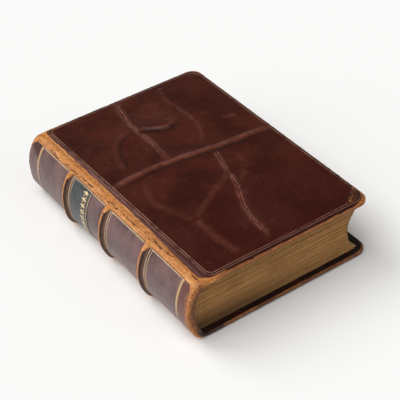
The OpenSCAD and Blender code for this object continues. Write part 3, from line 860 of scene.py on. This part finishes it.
front_leather = cover_material("front_cover_calf", sweep_r=8.0, near=10.0, edge_tone=EDGE_BROWN)
back_leather = cover_material("back_cover_calf", sweep_r=2.5, near=-2.0, edge_tone=srgb(78, 40, 25))
front_cover = cover_skin("front_cover_skin", 0.62, FRONT_CREASES, DENT, 11, front_leather, back=False)
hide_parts("front_cover_leather", "front_joint_leather")
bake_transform(front_cover)

back_cover = cover_skin("back_cover_skin", 0.8, BACK_CREASES, None, 23, back_leather, back=True)
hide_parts("back_cover_leather", "back_joint_leather")
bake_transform(back_cover)


# ---------------------------------------------------------------- the spine

def spine_base(step):
    """Points and outward normals round the spine from the front joint to the back joint, with their distances
    from the nearer joint and from the front one."""
    e = PANEL_DEPTH - SPINE_FLAT
    crown_r = (e * e + SHOULDER_DZ ** 2 - SHOULDER_R ** 2) / (2 * (e - SHOULDER_R))
    crown_x = AXIS_X - PANEL_DEPTH + crown_r
    turn = math.pi - math.atan2(SHOULDER_DZ, crown_x - SEAM_X)
    n_shoulder = int(SHOULDER_R * (turn - math.pi / 2) / step) + 1
    n_crown = int(2 * crown_r * (math.pi - turn) / step) + 1
    shoulder_arc = SPINE_FLAT + SHOULDER_R * (turn - math.pi / 2)
    over_shoulder = np.linspace(math.pi / 2, turn, n_shoulder, endpoint=False)
    over_crown = np.linspace(turn, math.pi, n_crown // 2 + 1)
    points, normals, arcs = [], [], []
    for angles, centre, radius, start in (
            (over_shoulder, (SEAM_X, MID_Z + SHOULDER_DZ), SHOULDER_R, SPINE_FLAT),
            (over_crown, (crown_x, MID_Z), crown_r, shoulder_arc)):
        normal = np.stack([np.cos(angles), np.sin(angles)], 1)
        points.append(centre + radius * normal)
        normals.append(normal)
        arcs.append(start + radius * (angles - angles[0]))
    points, normals, arcs = (np.concatenate(parts) for parts in (points, normals, arcs))
    flip = np.array([1, -1])
    points = np.concatenate([points, ((points - [0, MID_Z]) * flip + [0, MID_Z])[-2::-1]])
    normals = np.concatenate([normals, (normals * flip)[-2::-1]])
    run = np.concatenate([arcs, 2 * arcs[-1] - arcs[-2::-1]])
    return points, normals, np.concatenate([arcs, arcs[-2::-1]]), run


SPINE_POINTS, SPINE_NORMALS, SPINE_ARC, SPINE_RUN = spine_base(0.5)
SPINE_LENGTH = SPINE_RUN[-1]


def band_shape(y):
    """Height share of the raised bands at y, and which side of its band y is on (-1 tail to 1 head)."""
    share, side = np.zeros(np.shape(y)), np.zeros(np.shape(y))
    for centre in BAND_Y:
        d = y - centre
        share = np.maximum(share, 1 - smooth((np.abs(d) - 0.7) / 2.9))
        side = np.where(np.abs(d) < 5, np.clip(d / 2.2, -1, 1), side)
    return share, side


def clear_of_joint(arc):
    """How much of a band is left at a distance from the joint: they run out over the shoulders."""
    return smooth((arc - 3.0) / 6.5)


# the back's leather stands out here, by this much at the head
SWELL_RUN, SWELL = SPINE_LENGTH - 13.0, 1.2
CRACK_DEPTH = 0.25


def spine_height(run, y):
    """Height in mm of the spine's surface over its base outline."""
    arc = np.minimum(run, SPINE_LENGTH + SPINE_FLAT - run)
    share, _ = band_shape(y)
    over = clear_of_joint(arc)
    near_band = np.min([np.abs(y - c) for c in BAND_Y], axis=0)
    h = BAND_PROUD * 0.95 * share * over
    h -= 0.16 * gauss(near_band - 4.0, 0.6) * over
    h -= 0.18 * smooth((near_band - 5) / 9) * over
    free = smooth((arc - SPINE_FLAT) / 2.0)
    h += SWELL * gauss(run - SWELL_RUN, 6.0) * smooth((y - 10.0) / 60.0) * free
    h += (0.1 * noise(run, y, 9.0, 61, 2) + 0.05 * noise(run, y, 2.0, 67, 2)) * free
    crack = smooth((noise(run * 1.2, y * 0.22, 2.0, 71, 2) - 0.35) / 0.3)
    off_line = np.abs(arc - CRACK_ARC - CRACK_SLANT * y)
    h -= CRACK_DEPTH * crack * smooth((1.9 - off_line) / 1.2) * free
    return h


def at_spine(run, y, lift=0.0):
    """Points on the spine's surface, lifted off it by lift mm."""
    height = spine_height(run, y) + lift
    x = np.interp(run, SPINE_RUN, SPINE_POINTS[:, 0]) + np.interp(run, SPINE_RUN, SPINE_NORMALS[:, 0]) * height
    z = np.interp(run, SPINE_RUN, SPINE_POINTS[:, 1]) + np.interp(run, SPINE_RUN, SPINE_NORMALS[:, 1]) * height
    return np.stack(np.broadcast_arrays(x, y, z), -1)


# the caps run in this far over the endbands, in the middle and by the joints, with this rounding at their rims
CAP_W, CAP_W_JOINT = 4.7, 2.5
CAP_ROUND = 1.1
SPINE_SKIN = 0.8


def spine_skin():
    ys = spaced(-HALF_Y + CAP_ROUND, HALF_Y - CAP_ROUND, 0.62)
    run, y = np.meshgrid(SPINE_RUN, ys, indexing="ij")
    arc = np.repeat(SPINE_ARC[:, None], len(ys), 1)
    half = outline_half(SEAM_X - (arc - SPINE_FLAT))
    body = at_spine(run, y * half / HALF_Y)
    # the caps: rows that roll over each end and run in over the endband
    cap = smooth((SPINE_ARC - SPINE_FLAT) / 8.0)
    reach = CAP_W_JOINT + (CAP_W - CAP_W_JOINT) * cap
    rows = []
    for t in np.linspace(0, math.pi / 2, 5)[1:]:
        rows.append((CAP_ROUND * (1 - math.cos(t)) * np.ones(len(cap)), CAP_ROUND * math.sin(t)))
    for t in (0.3, 0.55, 0.8, 1.0):
        rows.append((CAP_ROUND + (reach - CAP_ROUND) * t, CAP_ROUND + 0.25 * math.sin(t * math.pi)))
    rows.append((reach + 0.35, 0.55))
    rows.append((reach + 0.45, -0.8))
    ends = {}
    for side in (-1, 1):
        row_points = []
        for k, (inward, out) in enumerate(rows):
            lump = 0.2 * noise(SPINE_RUN, np.full(len(SPINE_RUN), side * 50.0 + k * 1.3), 1.8, 83, 2)
            y_end = side * (half[:, 0] - CAP_ROUND + out)
            edge_height = spine_height(SPINE_RUN, np.full(len(SPINE_RUN), side * (HALF_Y - CAP_ROUND))) + lump
            p = SPINE_POINTS + SPINE_NORMALS * (edge_height - inward)[:, None]
            row_points.append(np.stack([p[:, 0], y_end, p[:, 1]], 1))
        ends[side] = np.stack(row_points, 1)
    grid = np.concatenate([ends[-1][:, ::-1], body, ends[1]], 1)
    nx, ny = grid.shape[:2]
    y_all = grid[:, :, 1]
    share, side = band_shape(y_all)
    over = clear_of_joint(SPINE_ARC)[:, None]
    arc_all = np.repeat(SPINE_ARC[:, None], ny, 1)
    end = HALF_Y - np.abs(y_all)
    inner = np.zeros((nx, ny))
    shelf = np.zeros((nx, ny))
    for k, (inward, _) in enumerate(reversed(rows)):
        depth = inward.mean()
        inner[:, k] = inner[:, ny - 1 - k] = smooth((depth - CAP_W + 0.1) / 0.4)
        shelf[:, k] = shelf[:, ny - 1 - k] = smooth((depth - 1.0) / (CAP_W - 1.8))
    faces = grid_faces(np.arange(nx * ny).reshape(nx, ny), flip=True)
    obj = add_mesh("spine_skin", grid, faces, spine_material("spine_calf"), shelf=shelf, arc=arc_all, end=end,
                   band=share * over, band_side=side, inner=inner)
    return thicken(obj, SPINE_SKIN)


spine = spine_skin()
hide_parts("spine_leather")
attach(spine, "text_block")


def spine_patches(name, patches, thickness, lift, material, replaced, step=0.5):
    """Thin pieces laid on the spine, each between two runs and two heights, as one object."""
    verts, faces = [], []
    for run0, run1, y0, y1 in patches:
        runs = np.linspace(run0, run1, max(2, int((run1 - run0) / step) + 1))
        ys = np.linspace(y0, y1, max(2, int((y1 - y0) / step) + 1))
        run, y = np.meshgrid(runs, ys, indexing="ij")
        base = sum(len(v) for v in verts)
        verts.append(at_spine(run, y, lift).reshape(-1, 3))
        faces += grid_faces(np.arange(run.size).reshape(run.shape) + base, flip=True)
    obj = add_mesh(name, np.concatenate(verts), faces, material)
    thicken(obj, thickness)
    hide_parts(*replaced)
    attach(obj, "text_block")
    return obj


label_low, label_high = box_mm("title_label")
LABEL_Y0, LABEL_Y1 = label_low[1], label_high[1]
LINE_W = 0.45
RUN0, RUN1 = PANEL_ARC, SPINE_LENGTH + SPINE_FLAT - PANEL_ARC
gilt = gilt_material()
LABEL_LIFT = 0.28

spine_patches("title_label_skiver", [(RUN0 + LINE_W, RUN1 - LINE_W, LABEL_Y0, LABEL_Y1)], 0.3, LABEL_LIFT,
              label_material(), ["title_label"])

# the wide lines near the ends, the double lines before each band, and the upright lines that stop short of them
END_LINE_Y = (HALF_Y - 13.0, -(HALF_Y - 12.0))
END_LINE_HALF = 0.95
BY_BAND, DOUBLE_GAP = 3.6, 1.95
UPRIGHT_STOP = 4.1
GILT_T = 0.07
line_patches = [(RUN0, RUN1, y - END_LINE_HALF, y + END_LINE_HALF) for y in END_LINE_Y]
for band_y in BAND_Y:
    for off in (BY_BAND, BY_BAND + DOUBLE_GAP):
        line_patches.append((RUN0, RUN1, band_y - off - LINE_W / 2, band_y - off + LINE_W / 2))
starts = [END_LINE_Y[1]] + [b + BY_BAND for b in BAND_Y]
stops = [b - UPRIGHT_STOP for b in BAND_Y] + [END_LINE_Y[0]]
for start, stop in zip(starts, stops):
    for run in (RUN0, RUN1 - LINE_W):
        line_patches.append((run, run + LINE_W, start, stop))
spine_patches("spine_gilt_lines", line_patches, GILT_T, 0.05, gilt, ["spine_gilt_fillets"], 0.35)


def label_ornament():
    """A plain tooled pattern for the label: a rule, and a row of lozenges with pairs of dots between them."""
    verts, faces = [], []

    def shape(points):
        """A flat shape on the label, from points of run and y round its outline, as a fan."""
        base = len(verts)
        p = np.array(points, float)
        centre = p.mean(0)
        ring = np.concatenate([[centre], p])
        verts.extend(at_spine(ring[:, 0], ring[:, 1], LABEL_LIFT + 0.06).tolist())
        for k in range(len(p)):
            faces.append([base, base + 1 + (k + 1) % len(p), base + 1 + k])

    y0, y1 = LABEL_Y0 + 0.5 - LINE_W / 2, LABEL_Y0 + 0.5 + LINE_W / 2
    for run in np.arange(RUN0 + 1.0, RUN1 - 1.4, 0.5):
        shape([(run, y0), (run + 0.5, y0), (run + 0.5, y1), (run, y1)])
    row_y, half_w, half_y, dot_r, count = LABEL_Y0 + 5.2, 1.45, 3.3, 0.55, 9
    pitch = (RUN1 - RUN0 - 6.0) / (count - 1)
    for k in range(count):
        run = RUN0 + 3.0 + k * pitch
        shape([(run - half_w, row_y), (run, row_y - half_y), (run + half_w, row_y), (run, row_y + half_y)])
        if k < count - 1:
            for y in (row_y - 1.5, row_y + 1.5):
                turns = np.linspace(0, 2 * math.pi, 10, endpoint=False)
                shape([(run + pitch / 2 + dot_r * math.cos(a), y + dot_r * math.sin(a)) for a in turns])
    obj = add_mesh("label_gilt_ornament", verts, faces, gilt)
    thicken(obj, GILT_T)
    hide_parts("label_gilt")
    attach(obj, "text_block")


label_ornament()


# ---------------------------------------------------------------- the leaves

def back_at(z):
    return BACK_CX - np.sqrt(BACK_R ** 2 - (z - MID_Z) ** 2)


def fore_edge_at(z):
    """The fore-edge is hollow as the back is round, but the first leaves have slid out a little further."""
    return back_at(z) + LEAF_W - 1.2 + 2.6 * smooth(np.array((z - MID_Z) / 17.0))


# a leaf's thickness, and the mesh's columns and rows over a page
LEAF_T = 0.26
PAGE_COLUMNS, PAGE_ROWS = 62, 92


def leaf_block(name, z0, z1, seed, wavy=False, bend=None):
    """A stack of leaves between two heights: every leaf shows on its three cut edges, and its fold lies on the
    rounded back. wavy gives the pages' faces a grid; bend adds columns near the fold between two x, for stacks
    that turn."""
    rng = np.random.default_rng(seed)
    count = max(1, int(round((z1 - z0) / LEAF_T)))
    t = (z1 - z0) / count
    x_steps = np.linspace(0, 1, PAGE_COLUMNS)
    ys = np.linspace(-BLOCK_Y, BLOCK_Y, PAGE_ROWS)
    rows = []
    for k in range(count):
        out = [rng.normal(0, 0.07) + 0.16 * (rng.random() < 0.08) - 0.2 * (rng.random() < 0.1)
               for _ in range(3)]
        sag = rng.normal(0, 0.03)
        for share, inset in ((0.04, 0.1), (0.3, 0.0), (0.7, 0.0), (0.96, 0.1)):
            rows.append((z0 + (k + share) * t, inset, out, k, sag))
    rows[0] = (z0, *rows[0][1:])
    rows[-1] = (z1, *rows[-1][1:])

    def columns(z):
        left, right = back_at(z), fore_edge_at(z)
        if not bend:
            return left + (right - left) * x_steps
        before = [np.linspace(left, bend[0], 4, endpoint=False), np.linspace(*bend, 22, endpoint=False)]
        return np.concatenate([*before, np.linspace(bend[1], right, 50)])

    n_x, n_y = len(columns(z0)), len(ys)
    li, lj = np.array(outer_loop(n_x, n_y)).T
    on_tail, on_head = lj == 0, lj == n_y - 1
    on_fore, on_back = li == n_x - 1, li == 0
    verts, page, margin = [], [], []
    for z, inset, out, k, sag in rows:
        x, y = columns(z)[li], ys[lj]
        wander = noise(x + y * 0.7, np.full(len(x), k * 3.1 + seed), 11.0, 5, 3) * 0.07
        x = x + np.where(on_fore, out[0] + wander - inset, 0) + np.where(on_back, inset * 0.5, 0)
        y = y + np.where(on_head, out[1] + wander - inset, 0) - np.where(on_tail, out[2] + wander - inset, 0)
        dz = noise(x, y, 14.0, 91 + k // 2, 2) * 0.035 * (0 < k < count - 1)
        verts.append(np.stack([x, y, np.broadcast_to(z + dz, x.shape)], 1))
        page.append(np.zeros(len(x)))
        margin.append(np.zeros(len(x)))
    n_loop, faces = len(li), []
    for r in range(len(rows) - 1):
        a = r * n_loop + np.arange(n_loop)
        b = r * n_loop + (np.arange(n_loop) + 1) % n_loop
        faces += np.stack([a, b, b + n_loop, a + n_loop], 1).tolist()
    last = (len(rows) - 1) * n_loop
    if wavy:
        for base, z, sign in ((0, z0, -1), (last, z1, 1)):
            gx, gy = np.meshgrid(columns(z)[1:-1], ys[1:-1], indexing="ij")
            start = sum(len(v) for v in verts)
            waves = 0.02 + 0.03 * np.abs(noise(gx, gy, 25.0, seed + 7, 2))
            verts.append(np.stack([gx, gy, z - sign * waves], 2).reshape(-1, 3))
            page.append(np.ones(gx.size))
            margin.append(np.minimum(np.minimum(BLOCK_Y - np.abs(gy), fore_edge_at(z) - gx), 12).ravel())
            number = np.full((n_x, n_y), -1)
            number[1:-1, 1:-1] = np.arange(gx.size).reshape(gx.shape) + start
            number[li, lj] = base + np.arange(n_loop)
            faces += grid_faces(number, flip=sign < 0)
            page[0 if sign < 0 else len(rows) - 1][:] = 0.6
    else:
        faces.append(list(range(n_loop))[::-1])
        faces.append(list(range(last, last + n_loop)))
    page, margin = np.concatenate(page), np.concatenate(margin)
    obj = add_mesh(name, np.concatenate(verts), faces, aged_paper, page=page, margin=margin)
    return obj


aged_paper = paper_material("aged_paper")
sections = sorted(n for n in frame["nodes"] if n.startswith("section_"))
for k, node in enumerate(sections):
    low, high = box_mm(node)
    outer = node in (sections[0], sections[-1])
    piece = leaf_block(node + "_leaves", low[2], high[2], 100 + k, wavy=outer)
    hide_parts(node)
    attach(piece, "text_block")

# the leaves that turn get extra columns between these two distances from the joint, where they would bend
FLEX = dict(front_flyleaf=(1.5, 8), front_leaves_1=(1.5, 9), front_leaves_2=(1.5, 12), front_leaves_3=(2, 16),
            back_flyleaf=(1.5, 8), rear_leaves_1=(1.5, 9), rear_leaves_2=(2, 12))
for k, (node, (near, far)) in enumerate(FLEX.items()):
    low, high = box_mm(node)
    bend = (AXIS_X + near, AXIS_X + far)
    piece = leaf_block(node + "_sheets", low[2], high[2], 200 + k, wavy=True, bend=bend)
    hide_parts(node, node + "_fold")
    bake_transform(piece)


# ---------------------------------------------------------------- pastedowns and endbands

PASTE_BORDER = 5.6
SHEET_T = 0.25


def pastedown(name, node, body, back):
    """The sheet pasted inside a board, over the turn-ins, with a slightly uneven edge."""
    xs = np.linspace(BOARD_X0 + 0.4, BOARD_X1 - PASTE_BORDER, 60)
    ys = np.linspace(-HALF_Y + PASTE_BORDER, HALF_Y - PASTE_BORDER, 90)
    x, y = np.meshgrid(xs, ys, indexing="ij")
    jag = 0.25 * noise(x, y, 6.0, 301, 3)
    x = x + np.where(x > xs[-2] + 1e-6, jag, 0)
    y = y + np.where(np.abs(y) > ys[-2] + 1e-6, jag, 0)
    z = TOP - COVER_T - 0.09 + 0.01 * noise(x, y, 18.0, 303, 2)
    inside = np.minimum(np.minimum(BOARD_X1 - PASTE_BORDER - x, HALF_Y - PASTE_BORDER - np.abs(y)), 12)
    verts = np.stack([x, y, z], 2)
    if back:
        verts = verts * [1, 1, -1] + [0, 0, TOP]
    faces = grid_faces(np.arange(x.size).reshape(x.shape), flip=not back)
    obj = add_mesh(name, verts, faces, aged_paper, page=np.ones(x.size), margin=np.maximum(inside, 0))
    thicken(obj, SHEET_T)
    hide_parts(node)
    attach(obj, body)


pastedown("front_pastedown_sheet", "front_pastedown", "front_cover", back=False)
pastedown("back_pastedown_sheet", "back_pastedown", "back_cover", back=True)

silk = silk_material()
WRAP_PITCH = 0.62


def endband(name, node, side):
    """Silk wound wrap by wrap round its core, on the arc of the back, two wraps of each colour in turn."""
    low, high = box_mm(node)
    half_h = (high[2] - low[2]) / 2 - 0.3
    tube_r = (high[1] - low[1]) / 2
    path_r = BACK_R - 1.4
    span = 2 * math.asin(half_h / path_r)
    wraps = int(span * path_r / WRAP_PITCH)
    n_path, n_ring = wraps * 8, 20
    y_mid = (low[1] + high[1]) / 2
    round_tube = np.linspace(0, 2 * math.pi, n_ring, endpoint=False)
    t, ring = np.meshgrid(np.linspace(0, 1, n_path + 1), round_tube, indexing="ij")
    angle = math.pi - span / 2 + span * t
    turn = wraps * t + ring / (2 * math.pi) * 0.5
    radius = tube_r * (0.93 + 0.07 * np.abs(np.sin(math.pi * turn)))
    radius *= np.sqrt(np.clip(1 - ((np.abs(t - 0.5) - 0.48) / 0.02).clip(0, 1) ** 2, 0.02, 1))
    out = path_r + radius * np.cos(ring)
    y = y_mid + side * radius * np.sin(ring)
    verts = np.stack([BACK_CX + out * np.cos(angle), y, MID_Z + out * np.sin(angle)], 2)
    index = np.arange(t.size).reshape(t.shape)
    index = np.concatenate([index, index[:, :1]], 1)
    wrap = (np.floor(turn) % 4 < 2).astype(float)
    faces = grid_faces(index, flip=side < 0)
    faces += [index[0, :-1].tolist(), index[-1, :-1][::-1].tolist()]
    obj = add_mesh(name, verts, faces, silk, wrap=wrap)
    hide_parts(node)
    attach(obj, "text_block")


endband("head_endband_wraps", "head_endband_silk", 1)
endband("tail_endband_wraps", "tail_endband_silk", -1)

# ---------------------------------------------------------------- what stays from the CAD, inside the book

hidden_stuff = {
    "millboard": plain_material("millboard", srgb(120, 92, 62), srgb(150, 118, 82), 3.0, 0.85,
                                stretch=(1, 0.4, 1)),
    "cord": plain_material("hemp_cord", srgb(150, 122, 82), srgb(190, 164, 118), 0.8, 0.85, 0.15),
    "thread": plain_material("linen_thread", srgb(190, 172, 136), srgb(216, 202, 170), 0.4, 0.7),
    "mull": plain_material("cotton_mull", srgb(176, 160, 128), srgb(206, 192, 160), 0.7, 0.9, 0.15),
    "lining_paper": plain_material("lining_paper", srgb(136, 104, 70), srgb(166, 134, 96), 2.0, 0.85),
}
slot_of = {p["node"]: p["material_slot"] for p in frame["record"]["subparts"]}
for node, obj in frame["nodes"].items():
    if slot_of[node] in hidden_stuff:
        obj.data.materials.clear()
        obj.data.materials.append(hidden_stuff[slot_of[node]])

# ---------------------------------------------------------------- floor, light and camera

# the floor reaches this far each way, and lies this low, in metres
FLOOR_REACH, FLOOR_Z = 6.0, -0.0004
floor_mesh = bpy.data.meshes.new("floor")
corners = [(x * FLOOR_REACH, y * FLOOR_REACH, 0) for x, y in ((-1, -1), (1, -1), (1, 1), (-1, 1))]
floor_mesh.from_pydata(corners, [], [(0, 1, 2, 3)])
floor = bpy.data.objects.new("floor", floor_mesh)
floor.location.z = FLOOR_Z
bpy.context.scene.collection.objects.link(floor)
ground = Shader("floor", on_cad=True)
floor_mesh.materials.append(ground.finish(srgb(244, 244, 243), 0.9, Specular_IOR_Level=0.1))

world = bpy.data.worlds.new("studio")
world.use_nodes = True
sky = world.node_tree.nodes
direction = sky.new("ShaderNodeTexCoord")
split = sky.new("ShaderNodeSeparateXYZ")
brightness = sky.new("ShaderNodeMapRange")
brightness.interpolation_type = "SMOOTHSTEP"
for socket, value in zip(brightness.inputs[1:5], (0.0, 0.3, 0.9, 0.1)):
    socket.default_value = value
world.node_tree.links.new(direction.outputs["Generated"], split.inputs[0])
world.node_tree.links.new(split.outputs["Z"], brightness.inputs["Value"])
world.node_tree.links.new(brightness.outputs[0], sky["Background"].inputs["Strength"])
sky["Background"].inputs["Color"].default_value = (1.0, 1.0, 1.0, 1.0)
bpy.context.scene.world = world
bpy.context.scene.view_settings.view_transform = "Standard"


def soft_sun(name, towards, strength, spread):
    """A big soft light that comes from the direction towards, spread over an angle in degrees."""
    data = bpy.data.lights.new(name, "SUN")
    data.energy, data.angle = strength, math.radians(spread)
    light = bpy.data.objects.new(name, data)
    light.rotation_euler = Vector(towards).to_track_quat("Z", "Y").to_euler()
    bpy.context.scene.collection.objects.link(light)


soft_sun("key", (-0.4, 0.8, 0.85), 1.45, 40)
soft_sun("top", (-0.35, -0.05, 1.0), 1.5, 60)
soft_sun("side", (-1.0, 0.0, 0.55), 0.75, 60)
soft_sun("front", (0.5, -1.0, 0.6), 0.4, 60)

CAMERA_AT = Vector((-341.9, -539.0, 527.1)) * MM
CAMERA_TO = Vector((1.3, -8.4, 21.4)) * MM
CAMERA_ROLL = math.radians(-3.44)
LENS, SENSOR_WIDTH = 112.46, 36.0
camera_data = bpy.data.cameras.new("camera")
camera_data.lens, camera_data.sensor_width = LENS, SENSOR_WIDTH
camera_data.clip_start, camera_data.clip_end = 0.05, 50.0
camera = bpy.data.objects.new("camera", camera_data)
camera.location = CAMERA_AT
look = (CAMERA_TO - CAMERA_AT).to_track_quat("-Z", "Y").to_matrix()
right, up = look.col[0].copy(), look.col[1].copy()
c, s = math.cos(CAMERA_ROLL), math.sin(CAMERA_ROLL)
look.col[0] = right * c + up * s
look.col[1] = up * c - right * s
camera.rotation_euler = look.to_euler()
bpy.context.scene.collection.objects.link(camera)
bpy.context.scene.camera = camera
